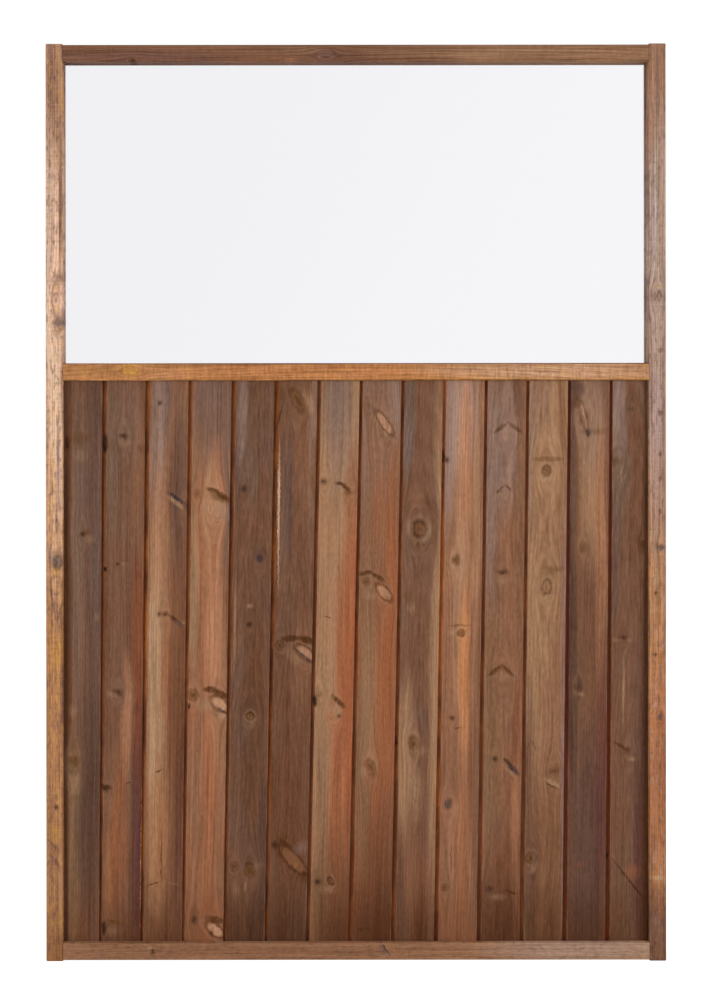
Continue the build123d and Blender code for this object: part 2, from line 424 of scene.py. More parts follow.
        # Sawn ends soak up more stain: rings round a pith outside the section
        normal = addNode(tree, "TexCoord").outputs["Normal"]
        facing = addNode(tree, "SeparateXYZ", {0: normal}).outputs[2]
        facing = addNode(tree, "Math", {0: facing}, operation="ABSOLUTE")
        sawn = addNode(tree, "MapRange", {
            0: facing, 1: sawnEnd["facingLow"], 2: sawnEnd["facingHigh"], 3: 0.0, 4: 1.0,
        })
        fromPith = addNode(tree, "VectorMath", {
            0: local, 1: (1, 1, 0), 2: (*sawnEnd["pithMm"], 0),
        }, operation="MULTIPLY_ADD")
        pithFar = addNode(tree, "VectorMath", {0: fromPith}, operation="LENGTH")
        pithFold = addNode(tree, "Math", {0: pithFar.outputs["Value"], 1: sawnEnd["ringMm"]},
                           operation="PINGPONG")
        pithRamp = addNode(tree, "ValToRGB", {0: pithFold})
        fillRamp(pithRamp, [(at, paint(tone)) for at, tone in sawnEnd["tones"]])
        colour = addNode(tree, "Mix", {
            mixFactor: sawn, mixFirst: colour, mixSecond: pithRamp,
        }, data_type="RGBA").outputs[mixResult]

    roughness = addNode(tree, "Math", {
        0: fibre, 1: pine["roughnessSpread"],
        2: pine["roughness"] - pine["roughnessSpread"] / 2,
    }, operation="MULTIPLY_ADD")
    relief = addNode(tree, "Bump", {
        "Height": level, "Strength": pine["reliefStrength"], "Distance": pine["reliefMm"] * mm,
    })
    shader = addNode(tree, "BsdfPrincipled", {
        "Base Color": colour, "Roughness": roughness, "IOR": pine["ior"],
        "Specular IOR Level": pine["specular"], "Normal": relief,
    })
    addNode(tree, "OutputMaterial", {0: shader})
    return material


def dress(node, material):
    mesh = nodes[node].data
    if not mesh.materials:
        mesh.materials.append(material)
    for slot in nodes[node].material_slots:
        slot.material = material


print("stage 4: boards")

plainRings = dict(across=60, deep=40, start=0, slope=0.01, spacing=4.2, strength=0.5)
archRings = dict(across=2, deep=10, start=30, slope=0.07, spacing=4.6, strength=0.6)
boards = dict(
    count=14, pitch=0.082, faceY=-0.0115, middleZ=0.579,  # in metres, as in the solids
    leanAtStile=0.41, leanAtPeak=1.33, peakPlace=0.42,  # degrees, and share of the row
    footHigh=185, footLow=45, footTint=(1.02, 0.9, 0.8),  # darker towards the foot, in mm
    usual=dict(rings=plainRings, joint="jointBrown", figure=1.0, blotchShare=0.5, edge="halo"),
)


def dressBoard(number, base, blotch, marks, foot=0.6, **own):
    place = (number - 1) / (boards["count"] - 1)  # share of the row, from the left
    peak = boards["peakPlace"]
    share = place / peak if place < peak else (1 - place) / (1 - peak)
    lean = boards["leanAtStile"] + (boards["leanAtPeak"] - boards["leanAtStile"]) * share
    centreX = (number - (boards["count"] + 1) / 2) * boards["pitch"]
    footDarkening = [foot * channel for channel in boards["footTint"]]
    recipe = dict(
        boards["usual"], base=base, blotch=blotch, marks=marks, seed=number,
        turn=radians(lean), faceY=boards["faceY"], centre=(centreX, boards["middleZ"]),
        footDark=dict(high=boards["footHigh"], low=boards["footLow"], level=footDarkening),
    )
    recipe.update(own)
    dress(f"board_{number:02d}", stainedPine(f"stainedPineBoard{number:02d}", recipe))


dressBoard(1, "warmBrown", "plumGrey", foot=0.9, marks=[
    stripe("greyBrown", 78, 18, 360, 760), stripe("plumGrey", 95, 20, 360, 780),
    # The umber stripe at px 67 is painted shadow, cast by the left stile along the board's left edge
    stripe("umber", 67, 11, 200, 1200, 0.8), stripe("olive", 74, 16, 700, 1000, 0.9),
    stripe("dusk", 87, 30, 640, 950, 0.7), stripe("dusk", 94, 22, 330, 470, 0.3),
    stripe("plumGrey", 84, 16, 420, 540, 0.6), fleck("knotBlack", 67.5, 443, 6, 15, 0.8),
    smudge("goldStain", 79, 438, 26, 15, bend=3), smudge("halo", 80, 456, 16, 14, 0.5),
    spot("pin", 83, 534, 5, 5, bend=4), smudge("umber", 86, 532, 14, 8, 0.7, tilt=30),
    smudge("halo", 90, 539, 13, 9, 0.6, tilt=-15), smudge("halo", 97, 617, 8, 10, 0.6),
    smudge("halo", 73, 711, 10, 14, 0.6), smudge("goldStain", 73, 761, 19, 14, bend=7),
    smudge("paleHoney", 75, 784, 15, 26, 0.6),
])
dressBoard(2, "warmBrown", "greyBrown", foot=0.76, marks=[
    stripe("greyBrown", 112, 18, 350, 560), stripe("chestnut", 137, 16, 380, 560),
    stripe("pinkGrey", 129, 26, 320, 500, 0.25), stripe("redBrown", 138, 20, 520, 820, 0.9),
    stripe("salmon", 125, 15, 640, 800, 0.7), stripe("chestnut", 112, 16, 700, 960, 0.9),
    stripe("orange", 108, 12, 820, 940, 0.3), stripe("rust", 119, 24, 740, 940, 0.5),
    stripe("plumRed", 137, 16, 690, 980, 0.8), streak("halo", 110.6, 797, 106.7, 889, 2, 0.3),
    streak("cream", 142, 778, 140.5, 938, 1.3, 0.6),
    streak("orange", 126, 720, 107, 920, 9, 0.45, "smudge"), fleck("knotBlack", 105, 444, 6, 22),
    smudge("goldStain", 110, 446, 9, 18, 0.7), spot("pin", 123, 436, 7, 4, bend=6),
    smudge("halo", 126, 444, 16, 12, 0.5), smudge("plumRed", 140.6, 449, 9, 14, 0.8),
    spot("pin", 118, 564, 4, 3), smudge("halo", 124, 564, 11, 5, 0.5),
    fleck("knotBlack", 105.4, 569, 4, 6), smudge("plumRed", 140.6, 575, 6, 8, 0.7),
    spot("pin", 118.4, 692.5, 9, 5, 30, bend=6), smudge("halo", 109, 694, 12, 8, 0.55, tilt=20),
    smudge("halo", 128, 696, 12, 7, 0.4, tilt=25), smudge("plumRed", 137, 708, 11, 18, 0.6),
    streak("umber", 101, 786, 113, 788, 5, 0.9), spot("pin", 105, 788, 6, 6, bend=5),
    streak("knotRim", 124, 784, 132, 782, 1.6, 0.8), smudge("plumRed", 137, 791, 8, 10, 0.6),
    fleck("knotRim", 104, 928, 6, 16, bend=5), streak("goldStain", 106, 920, 124, 924, 4, 0.8),
    smudge("halo", 112, 931, 12, 12, 0.6),
])
dressBoard(3, "chestnut", "honey", joint="jointRust", marks=[
    stripe("pinkGrey", 159, 24, 330, 560), stripe("honey", 158, 24, 430, 900, 1),
    stripe("paleHoney", 154, 16, 480, 960, 0.75), stripe("salmon", 160, 22, 440, 620, 0.5),
    stripe("orange", 157, 26, 740, 940, 0.4), stripe("redBrown", 169, 8, 540, 780, 0.4),
    stripe("plum", 180, 20, 350, 620), stripe("plumGrey", 168, 18, 300, 450, 0.7),
    stripe("pinkGrey", 162, 24, 320, 470, 0.4), stripe("rust", 166, 10, 600, 740, 0.4),
    stripe("cocoa", 178, 20, 500, 960), stripe("plumRed", 181, 16, 700, 980, 0.45),
    streak("cream", 151.5, 560, 147, 760, 1.4, 0.4), spot("pin", 160, 403, 3.5, 4),
    smudge("warmBrown", 155, 414, 10, 22, 0.7), streak("blueBlack", 166, 491, 187, 505, 4.5, 0.9),
    streak("halo", 166, 495, 185, 510, 5, 0.75), smudge("blueBlack", 186, 506, 7, 12, 0.8, bend=6),
    spot("pin", 159, 614, 4, 4), spot("pin", 165.5, 614, 4, 4, bend=4),
    streak("umber", 168, 614, 183, 627, 5, 0.9), streak("blueGrey", 172, 619, 183, 627, 2.5, 0.6),
    smudge("halo", 184, 623, 6, 5), streak("knotRim", 155, 773, 163, 769, 2.2, 0.9),
    smudge("halo", 147, 774, 8, 7, 0.8), streak("knotRim", 161.6, 823, 161.2, 891, 1.3, 0.8),
    streak("knotRim", 161.5, 881, 145, 887, 1.5, 0.8), streak("halo", 162, 881, 181, 886, 1.2, 0.4),
    smudge("halo", 157, 900, 18, 40, 0.3),
])
dressBoard(4, "chestnut", "rust", figure=1.5, foot=0.75, marks=[
    stripe("honey", 196, 12, 480, 680, 0.8), stripe("plumGrey", 211, 60, 290, 480, 0.85),
    stripe("olive", 196, 10, 400, 700, 0.7), stripe("salmon", 213, 18, 420, 800, 0.7),
    stripe("halo", 211, 12, 440, 560, 0.4), stripe("rust", 209, 17, 660, 1000, 0.5),
    stripe("cocoa", 227, 8, 380, 960, 0.5), stripe("chestnut", 197, 14, 660, 1000, 0.7),
    stripe("plumGrey", 226, 16, 380, 600, 0.8), smudge("umber", 197, 494, 9, 14, 0.95, bend=4),
    streak("goldStain", 209, 493, 230, 502, 11, 0.9), streak("umber", 205, 488, 220, 492, 6, 0.9),
    streak("umber", 214, 490, 231, 502, 7, 0.9), smudge("halo", 214, 508, 28, 24, 0.9, tilt=40, bend=10),
    smudge("pinkGrey", 225, 513, 12, 22, 0.6), spot("gold", 193, 695, 10, 11, bend=7),
    fleck("knotBlack", 189, 706, 4, 7), spot("ring", 216, 702, 26, 24, tone="knotRim", strength=0.25),
    spot("eye", 219.6, 704, 13, 24, -55, bend=9), streak("umber", 203, 689, 218, 690, 8, 1),
    streak("umber", 212, 690, 231, 699, 8, 1), streak("blueBlack", 215.7, 706, 230, 716, 3, 0.9),
    smudge("halo", 204, 706, 16, 16, 0.8), smudge("halo", 222, 716, 14, 8, 0.6, tilt=30),
    spot("pin", 194, 919, 5, 8, bend=5), spot("eye", 215, 930, 12, 23, -50, bend=8),
    spot("pin", 210.5, 933, 4, 4), streak("umber", 203, 917, 226, 922, 8, 0.95),
])
dressBoard(5, "warmBrown", "plumGrey", rings=archRings, marks=[
    stripe("plumGrey", 240, 10, 340, 520, 0.9), stripe("greyBrown", 250, 20, 400, 520, 0.5),
    stripe("honey", 236.5, 4, 570, 690, 0.7), stripe("plum", 262, 16, 740, 960),
    stripe("umber", 253, 26, 520, 880, 0.4), stripe("pinkGrey", 242, 13, 340, 480, 0.8),
    spot("blue", 243.6, 489, 5, 5, bend=4), spot("blue", 259.4, 558, 8, 8, bend=6),
    streak("blueBlack", 262, 545, 266, 556, 2.5, 0.5), smudge("halo", 250, 606, 7, 5),
    spot("pin", 249.7, 624.5, 5, 5, bend=4), smudge("goldHeart", 249.7, 630, 7, 5, 0.8),
    spot("round", 250.3, 716, 8, 8, bend=7), smudge("halo", 250.3, 723, 18, 14, 0.4),
    smudge("greyBrown", 246, 735, 14, 30, 0.6), fleck("umber", 249, 862, 11, 13, 0.75),
    stripe("dusk", 250, 12, 878, 1000, 0.4), spot("gold", 234.6, 866.6, 8, 9, bend=6),
    spot("gold", 249.7, 870.5, 10, 14, -15, bend=8), fleck("goldStain", 250, 870, 8, 12, 0.7, tilt=-15),
    smudge("halo", 258, 866, 14, 8, 0.4, tilt=-25), streak("halo", 247, 876, 244, 893, 3.5, 0.3),
    smudge("halo", 236, 890, 8, 26, 0.4),
])
dressBoard(6, "warmBrown", "greyBrown", rings=archRings, joint="jointRust", marks=[
    stripe("chestnut", 305, 26, 340, 540, 0.7), stripe("plumGrey", 288, 14, 420, 580, 0.8),
    stripe("cocoa", 292, 50, 560, 1000, 0.6), stripe("chestnut", 302, 26, 600, 730, 0.6),
    smudge("goldStain", 291, 390, 20, 18), stripe("pinkGrey", 311, 12, 320, 480, 0.5),
    spot("gold", 298, 401, 11, 24, -28, bend=8), smudge("paleHoney", 309, 402, 12, 28, 0.8, tilt=-15),
    streak("knotRim", 283.6, 401.5, 275.5, 432, 1.6, 0.8), smudge("umber", 281, 395, 10, 20, 0.6),
    streak("cream", 279.6, 436, 277.9, 590, 2.6, 1), spot("gold", 279.7, 645.4, 8, 9, bend=7),
    spot("eye", 305, 653, 12, 25, -52, bend=9), streak("umber", 280, 639, 302, 638, 8, 1),
    streak("umber", 296, 637, 318, 643, 8, 1), streak("blueBlack", 293, 647, 313, 664, 3, 0.8),
    smudge("halo", 296, 660, 22, 12, 0.6, tilt=30), smudge("halo", 288, 652, 12, 12, 0.4),
    smudge("goldStain", 281, 837, 22, 9, tilt=10), streak("umber", 278, 838, 291, 848, 5, 0.8),
    spot("pin", 275, 845, 5, 7), spot("leaf", 293, 860, 14, 44, -42, bend=8),
    fleck("umber", 304, 874, 6, 7), smudge("umber", 306, 880, 18, 12, 0.7, tilt=25),
    smudge("pinkGrey", 301, 848, 20, 14, 0.7, tilt=-35),
])
dressBoard(7, "honey", "salmon", foot=0.62, marks=[
    stripe("greyBrown", 336, 44, 320, 460, 0.8), stripe("pinkGrey", 340, 34, 320, 520, 0.55),
    stripe("rust", 349, 20, 420, 800, 0.8), stripe("brick", 351, 18, 460, 1000, 0.95),
    stripe("rust", 340, 14, 520, 760, 0.5), stripe("olive", 322, 14, 700, 960, 0.6),
    stripe("brick", 337, 20, 570, 960, 0.75), stripe("cocoa", 334, 50, 790, 1080, 0.8),
    spot("pin", 323.6, 481.5, 5, 5, bend=5), streak("umber", 334, 483, 346, 484, 4, 0.95),
    streak("umber", 341, 484, 350, 491, 5, 0.9), smudge("goldStain", 350, 492, 12, 9, bend=6),
    smudge("halo", 338, 492, 14, 8, 0.6), streak("knotRim", 324, 616, 332, 618, 1.8, 0.7),
    fleck("knotBlack", 315, 701, 5, 14), smudge("goldHeart", 319, 695, 10, 9, bend=6),
    streak("umber", 331, 694, 346, 709, 6, 0.95), smudge("halo", 334, 711, 22, 13, 0.85, bend=7),
    spot("pin", 339, 716, 3.5, 3), spot("pin", 318.3, 881.6, 6, 6, bend=5),
    spot("round", 330.7, 881, 6, 9, -30, bend=5), smudge("halo", 327, 890, 22, 9, 0.5),
])
dressBoard(8, "chestnut", "rust", marks=[
    stripe("greyBrown", 380, 40, 320, 420, 0.5), stripe("pinkGrey", 379, 46, 310, 520, 0.2),
    stripe("olive", 366, 14, 420, 960, 0.55), stripe("pinkGrey", 366, 14, 350, 560, 0.4),
    stripe("rust", 377, 17, 600, 880, 0.7), stripe("rust", 388, 18, 430, 860, 0.95),
    stripe("pinkGrey", 395.5, 3.5, 570, 790, 0.5), stripe("honey", 370, 20, 580, 800, 0.5),
    stripe("pinkGrey", 392, 14, 340, 450, 0.8), stripe("cocoa", 378, 56, 770, 1080, 0.85),
    smudge("umber", 368.5, 405, 10, 10, 0.8, bend=6), spot("eye", 384.5, 423, 9, 32, -35, bend=8),
    smudge("pinkGrey", 392, 415, 14, 30, 0.6, tilt=-20), streak("umber", 358, 575, 373, 571.5, 5.5, 0.95),
    streak("umber", 369, 571.5, 387, 583, 5.5, 0.95), spot("gold", 366, 581.4, 8, 8, bend=6),
    spot("eye", 384, 592.5, 11, 24, -42, bend=8), smudge("halo", 372, 596, 18, 10, 0.7),
    spot("gold", 370.7, 768, 9, 17, -20, bend=7), smudge("halo", 364, 772, 12, 14, 0.7),
    spot("ring", 378, 806, 38, 70, tone="redBrown", strength=0.2),
    streak("umber", 357, 930, 372, 927, 3, 0.8),
])
dressBoard(9, "warmBrown", "greyBrown", rings=archRings, figure=1.2, foot=0.7, marks=[
    stripe("greyBrown", 410, 18, 340, 500, 0.9), stripe("chestnut", 437, 12, 340, 960, 0.9),
    stripe("honey", 435, 18, 300, 960, 0.9), stripe("honey", 406, 20, 660, 860, 0.9),
    stripe("warmBrown", 425, 16, 320, 480, 0.6), stripe("cocoa", 417, 14, 790, 1060, 0.6),
    stripe("dusk", 410, 16, 350, 440, 0.3), stripe("chestnut", 412, 22, 780, 960, 0.7),
    stripe("plumGrey", 404, 8, 440, 540, 0.6), smudge("umber", 425, 507, 16, 22, 0.45),
    spot("round", 419.4, 528.8, 13.5, 17, 0, bend=13), smudge("halo", 428, 533, 14, 22, 0.5, tilt=20),
    smudge("halo", 409, 527, 10, 18, 0.4), fleck("knotHeart", 418, 545, 5, 9),
    streak("knotRim", 420, 552, 417, 580, 1.5, 0.4), smudge("goldStain", 407, 596, 10, 12, 0.7),
    smudge("halo", 412, 608, 12, 14, 0.5), smudge("plumGrey", 423, 718, 13, 40, 0.6, tilt=-12),
    stripe("umber", 420, 14, 870, 990, 0.4), smudge("blueGrey", 409, 445, 10, 70, 0.6),
    stripe("redBrown", 425, 18, 820, 940, 0.35), spot("gold", 414, 743.5, 10, 13, -15, bend=6),
    smudge("paleHoney", 416, 790, 14, 70, 0.8), smudge("halo", 422, 752, 9, 16, 0.6, tilt=20),
    streak("plumGrey", 400.5, 830, 399.5, 928, 2, 0.5),
    streak("knotBlack", 396.5, 735, 396.5, 748, 3, 0.9),
])
dressBoard(10, "chestnut", "salmon", joint="jointRust", figure=1.4, foot=0.8, marks=[
    stripe("paleHoney", 461, 18, 320, 760, 0.4), stripe("ash", 473, 18, 330, 480, 0.2),
    stripe("ashPink", 461, 24, 320, 500, 0.5), stripe("cocoa", 471, 13, 670, 870, 0.6),
    stripe("pinkGrey", 449, 16, 330, 560, 0.9), stripe("salmon", 465, 18, 340, 580, 0.9),
    stripe("orange", 463, 13, 560, 780, 0.95), stripe("honey", 476, 10, 400, 620, 0.6),
    stripe("warmBrown", 476, 14, 590, 980, 0.85), stripe("rust", 460, 16, 740, 960, 0.4),
    fleck("knotBlack", 443.5, 456, 4, 17), spot("pin", 447, 460, 4, 5),
    streak("halo", 446, 454, 482, 453.6, 1.6, 0.35), spot("gold", 455.4, 560, 8, 10, bend=6),
    smudge("halo", 455, 570, 14, 12, 0.6), spot("round", 461.3, 633, 8, 8, bend=3),
    streak("umber", 446, 626, 474, 625, 2.2, 0.5), smudge("halo", 453, 633, 12, 7, 0.7),
    smudge("halo", 469, 633, 10, 6, 0.6), spot("pin", 452, 718, 4, 4, bend=4),
    streak("knotRim", 454, 729, 462, 727, 1.8, 0.6), spot("blue", 448, 803.8, 7, 10, bend=7),
    smudge("salmon", 455, 808, 12, 14, 0.6), spot("gold", 445, 887.5, 6, 7, bend=5),
    streak("knotRim", 451.5, 843, 451, 876, 1.3, 0.7),
])
dressBoard(11, "chestnut", "greyBrown",
           rings=dict(plainRings, across=5, deep=14, start=60, slope=0.05), marks=[
    stripe("pinkGrey", 492, 22, 320, 640, 0.75), stripe("olive", 492, 18, 600, 860, 0.6),
    stripe("chestnut", 513, 16, 420, 760, 0.8), stripe("plum", 517, 12, 330, 440, 0.6),
    stripe("salmon", 508, 6, 350, 620, 0.6), stripe("redBrown", 514, 12, 640, 900, 0.55),
    stripe("salmon", 514, 10, 740, 880, 0.5), stripe("halo", 501, 2.5, 570, 672, 0.35),
    stripe("cocoa", 503, 18, 830, 960, 0.5), stripe("pinkGrey", 506, 22, 330, 540, 0.75),
    stripe("cocoa", 500, 44, 790, 1060, 0.65), streak("umber", 493, 434, 509, 421.5, 5, 0.75),
    streak("umber", 508, 421.5, 523, 434, 5, 0.75), smudge("halo", 508, 434, 18, 14, 0.5, bend=7),
    streak("umber", 496, 494, 505, 484.5, 3, 0.8), streak("umber", 504.5, 484.5, 512, 491, 3, 0.8),
    smudge("halo", 504, 496, 12, 10, 0.5, bend=5), spot("pin", 502.5, 572, 10, 4, bend=5),
    smudge("halo", 503, 580, 14, 10, 0.5), streak("umber", 487, 677, 503, 664.5, 5, 0.8),
    streak("umber", 501, 664.5, 516, 678, 5, 0.8), smudge("halo", 504, 677, 18, 12, 0.6, bend=7),
    smudge("pinkGrey", 515.6, 674, 6, 10, 0.5), spot("pin", 495, 759, 4, 5, bend=4),
    streak("knotRim", 503, 758, 512, 766, 4, 0.9), streak("blueBlack", 508, 763, 520, 776, 5.5, 0.95),
    streak("halo", 503, 765, 518, 780, 4.5, 0.6), spot("pin", 489.4, 889, 6, 5, bend=5),
    streak("umber", 503, 890, 518, 894, 3, 0.9), smudge("halo", 497, 897, 22, 8, 0.6),
])
dressBoard(12, "honey", "chestnut", rings=dict(archRings, across=-4, start=10, slope=0.06), marks=[
    stripe("chestnut", 557, 18, 340, 960, 0.6), stripe("pinkGrey", 532, 16, 340, 560, 0.6),
    stripe("pinkGrey", 528.6, 4, 655, 735, 0.5), stripe("pinkGrey", 530, 3, 815, 920, 0.3),
    stripe("plum", 530, 16, 660, 1040, 0.8), stripe("chestnut", 544, 40, 650, 960, 0.6),
    stripe("cocoa", 546, 44, 740, 1060, 0.6), stripe("cocoa", 561, 11, 340, 480, 0.5),
    stripe("pinkGrey", 545, 16, 320, 450, 0.3), streak("lilac", 565.5, 450, 561.5, 930, 2.6, 0.8),
    fleck("goldStain", 548, 459, 36, 6, 0.6), smudge("goldStain", 556, 569, 24, 7, 0.7),
    spot("round", 546.7, 470.6, 9, 11, bend=9), smudge("halo", 553, 475, 12, 16, 0.4),
    spot("ring", 547, 586.6, 10, 15, tone="knotRim", strength=0.9, bend=9),
    smudge("goldHeart", 547, 586.6, 8, 12, 0.6), smudge("goldStain", 553.6, 569.6, 12, 16, 0.5),
    smudge("halo", 545, 600, 22, 18, 0.4), streak("knotRim", 526, 752, 531, 739, 1.6, 0.4),
    streak("knotRim", 531, 739, 537, 752, 1.6, 0.4),
    smudge("umber", 553.6, 771, 18, 9, 0.9, tilt=-20, bend=7), streak("halo", 543, 778, 560, 787, 6, 0.9),
    streak("knotRim", 545, 782, 559, 790, 1.8, 0.8), spot("gold", 531, 858, 10, 10, bend=8),
    smudge("halo", 533, 868, 18, 12, 0.4),
])
dressBoard(13, "warmBrown", "chestnut", joint="jointRed", marks=[
    stripe("plumGrey", 573, 12, 330, 620, 0.8), stripe("dusk", 572, 17, 480, 860, 0.75),
    stripe("plum", 574, 16, 320, 480, 0.8), stripe("honey", 590, 26, 330, 590, 0.85),
    stripe("pinkGrey", 592, 34, 320, 500, 0.4), fleck("plum", 578, 389, 18, 18, 0.8),
    fleck("umber", 577, 403, 13, 12, 0.5), stripe("salmon", 599, 14, 380, 700, 0.8),
    stripe("chestnut", 600, 14, 540, 680, 0.6), stripe("plum", 586, 44, 700, 980, 0.85),
    stripe("rust", 601, 7, 620, 800, 0.3), stripe("plumRed", 600, 16, 610, 960, 0.65),
    smudge("umber", 577, 398, 11, 9, 0.7), smudge("cocoa", 580, 417, 8, 34, 0.8, tilt=-14),
    spot("leaf", 584, 417, 7, 36, -14, strength=0.6, bend=8), fleck("blueBlack", 587.5, 433, 6, 9),
    streak("cream", 581, 400, 587, 428, 1.3, 0.4), smudge("goldStain", 598, 432, 18, 8, 0.8),
    smudge("halo", 597, 446, 14, 18, 0.4), smudge("umber", 583.6, 547, 12, 12, 0.7, bend=5),
    smudge("umber", 574.5, 627, 8, 10, 0.5), smudge("darkBrown", 577, 687, 16, 9, 0.9, bend=6),
    smudge("halo", 581, 694, 10, 6, 0.8), spot("ring", 571, 817.5, 7, 8, tone="knotRim", strength=0.4),
    smudge("redBrown", 578.4, 865, 14, 9, 0.5),
])
dressBoard(14, "warmBrown", "greyBrown", rings=archRings, joint="jointRed", foot=0.74, marks=[
    stripe("greyBrown", 618, 20, 330, 560, 0.9), stripe("pinkGrey", 619, 20, 330, 460, 0.8),
    stripe("plumGrey", 616, 14, 480, 650, 0.6), stripe("warmBrown", 621, 22, 600, 860, 0.6),
    # The umber stripe at px 646 is painted shadow, cast by the right stile along the board's right edge
    stripe("umber", 646, 17, 200, 1200, 0.9), stripe("plum", 638, 18, 560, 960, 0.55),
    stripe("plumRed", 639, 14, 760, 980, 0.45), stripe("cream", 623.5, 3, 640, 736, 0.3),
    smudge("dusk", 631, 409, 13, 9, 0.7, tilt=30, bend=4),
    smudge("goldStain", 617, 461, 14, 10, 0.9, bend=7), streak("halo", 622, 465, 621, 484, 2.5, 0.6),
    smudge("umber", 643, 545, 14, 22, 0.95, bend=4), smudge("goldStain", 634, 539, 18, 10, 0.7),
    spot("pin", 623, 637.6, 6, 4, bend=5), smudge("halo", 616, 640, 9, 6, 0.6),
    smudge("halo", 630, 640, 8, 6, 0.5), streak("umber", 612, 741, 630, 751, 4, 0.8),
    smudge("darkBrown", 627, 751, 12, 7, tilt=-30, bend=4), smudge("halo", 632, 759, 8, 6),
    streak("knotRim", 611, 857, 646, 902, 2.6, 0.9), streak("goldHeart", 616, 858, 644, 893, 1.5, 0.5),
    smudge("rust", 632, 872, 20, 18, 0.7, tilt=-40), fleck("knotBlack", 607, 856, 4, 8),
])

print("stage 5: frame")

frameTimber = dict(faceY=-0.0225, blotchShare=0.6)
stileRings = dict(across=30, deep=30, start=0, slope=0.012, spacing=3.8, strength=1.2)
railRings = dict(across=25, deep=20, start=0, slope=0.03, spacing=4.6, strength=1.2)
middleRings = dict(across=25, deep=20, start=0, slope=0.06, spacing=4.4, strength=0.8)
stileFoot = dict(high=150, low=20, level=(0.72, 0.68, 0.66))


def dressFrame(node, **recipe):
    label = "".join(word.capitalize() for word in node.split("_"))
    dress(node, stainedPine("stainedPine" + label, {**frameTimber, **recipe}))


dressFrame("stile_left", base="orangeTan", blotch="honey", second="purpleBrown",
           flecks=(("yellowStain", 0.3), ("purpleBrown", 0.55)), rings=stileRings, figure=1.8, chatter=1.2,
           endGrain=True, footDark=stileFoot, seed=21, centre=(-0.5835, 0.8875), turn=0.0, marks=[
    stripe("pinkTan", 56, 34, -300, 660, 1), stripe("ashPink", 50, 8, -100, 460, 0.6),
    # The ash stripe at px 66.5 is a painted highlight on the stile's inner face, lit from the right
    stripe("tan", 60, 8, -100, 360, 0.5), stripe("ash", 66.5, 4, -200, 500, 0.9),
    stripe("cream", 54, 12, 300, 480, 0.5), stripe("purpleBrown", 60, 4, 60, 300, 0.6),
    stripe("chestnut", 54, 34, -80, 190, 0.85), stripe("purpleBrown", 50, 7, 20, 130, 0.6),
    stripe("yellowStain", 61.5, 2.5, 60, 130, 0.5), stripe("purpleBrown", 60, 5, 150, 260, 0.6),
    stripe("blueGrey", 58, 3, 400, 520, 0.8), stripe("blueGrey", 56, 3, 500, 540, 0.6),
    stripe("yellowStain", 53, 4, 420, 560, 0.35), stripe("purpleBrown", 62, 6, 640, 740, 0.7),
    stripe("purpleBrown", 50, 4, 700, 940, 0.4), spot("blue", 58.5, 323, 9, 8, bend=4),
    spot("ring", 59, 297, 15, 46, tone="purpleBrown", strength=0.8, bend=8),
    smudge("rust", 59, 292, 8, 22, 0.6), smudge("purpleBrown", 54, 278, 16, 10, 0.5),
    spot("blue", 57, 562, 11, 15, bend=4), smudge("blueGrey", 50, 556, 6, 20, 0.6),
    smudge("yellowStain", 56, 572, 12, 10, 0.8),
    spot("ring", 56, 585, 12, 20, tone="purpleBrown", strength=0.8),
    streak("purpleBrown", 49.8, 583, 56.3, 623, 2, 0.7),
    streak("purpleBrown", 62.9, 600, 56.3, 625, 2, 0.7), smudge("yellowStain", 58, 655, 12, 50, 0.45),
    stripe("chestnut", 56, 34, 640, 1100, 0.55), spot("pin", 56.3, 807, 3.5, 4),
    smudge("yellowStain", 56, 833, 14, 24, 0.7), streak("purpleBrown", 46.5, 838, 60, 852, 4, 0.7),
    streak("purpleBrown", 48, 852, 62, 869, 4, 0.7), smudge("yellowStain", 61, 918, 7, 46, 0.45),
])
dressFrame("stile_right", base="orangeTan", blotch="purpleBrown", second="tan",
           flecks=(("ashPink", 0.3), ("purpleBrown", 0.5)), rings=stileRings, figure=1.6, chatter=0.8,
           endGrain=True, footDark=dict(high=190, low=90, level=(0.45, 0.46, 0.6)), seed=22,
           centre=(0.5835, 0.8875), turn=0.0, marks=[
    stripe("ashPink", 658, 34, -60, 600, 0.95), stripe("lilac", 658, 30, 330, 560, 0.25),
    stripe("chestnut", 658, 34, -80, 160, 0.7), stripe("rust", 658, 30, 600, 940, 0.6),
    stripe("rust", 650.5, 5, 80, 180, 0.5), stripe("purpleBrown", 657.5, 5, 30, 130, 0.6),
    stripe("purpleBrown", 658.5, 4, 130, 250, 0.5), stripe("ash", 653, 12, 130, 300, 0.6),
    # The dusk stripe at px 647.6 is painted shade on the stile's inner face
    stripe("dusk", 647.6, 2.6, -900, 1900, 0.75), stripe("chestnut", 664, 5, 200, 900, 0.5),
    stripe("purpleBrown", 652, 4, 60, 420, 0.4), streak("paleHoney", 648, 286, 667, 285, 2.6, 0.9),
    smudge("purpleBrown", 657, 296, 24, 15, 0.85, bend=6), fleck("purpleBrown", 660.5, 350, 5, 6, 0.8),
    fleck("purpleBrown", 660.5, 413, 5, 6, 0.8), fleck("purpleBrown", 660.5, 453.6, 5, 6, 0.8),
    fleck("purpleBrown", 660.5, 478, 5, 6, 0.7), fleck("purpleBrown", 660.5, 511, 5, 5, 0.7),
    smudge("goldStain", 655, 545, 10, 8, 0.7), spot("blue", 661.5, 547.6, 7, 7, bend=3),
    spot("pin", 655.6, 593, 3, 3), spot("pin", 655.6, 654.6, 3, 3), spot("blue", 660, 716.7, 5, 6, bend=4),
    streak("paleHoney", 649, 878, 667, 878, 5, 0.8), smudge("rust", 660.5, 905, 7, 22, 0.6),
])
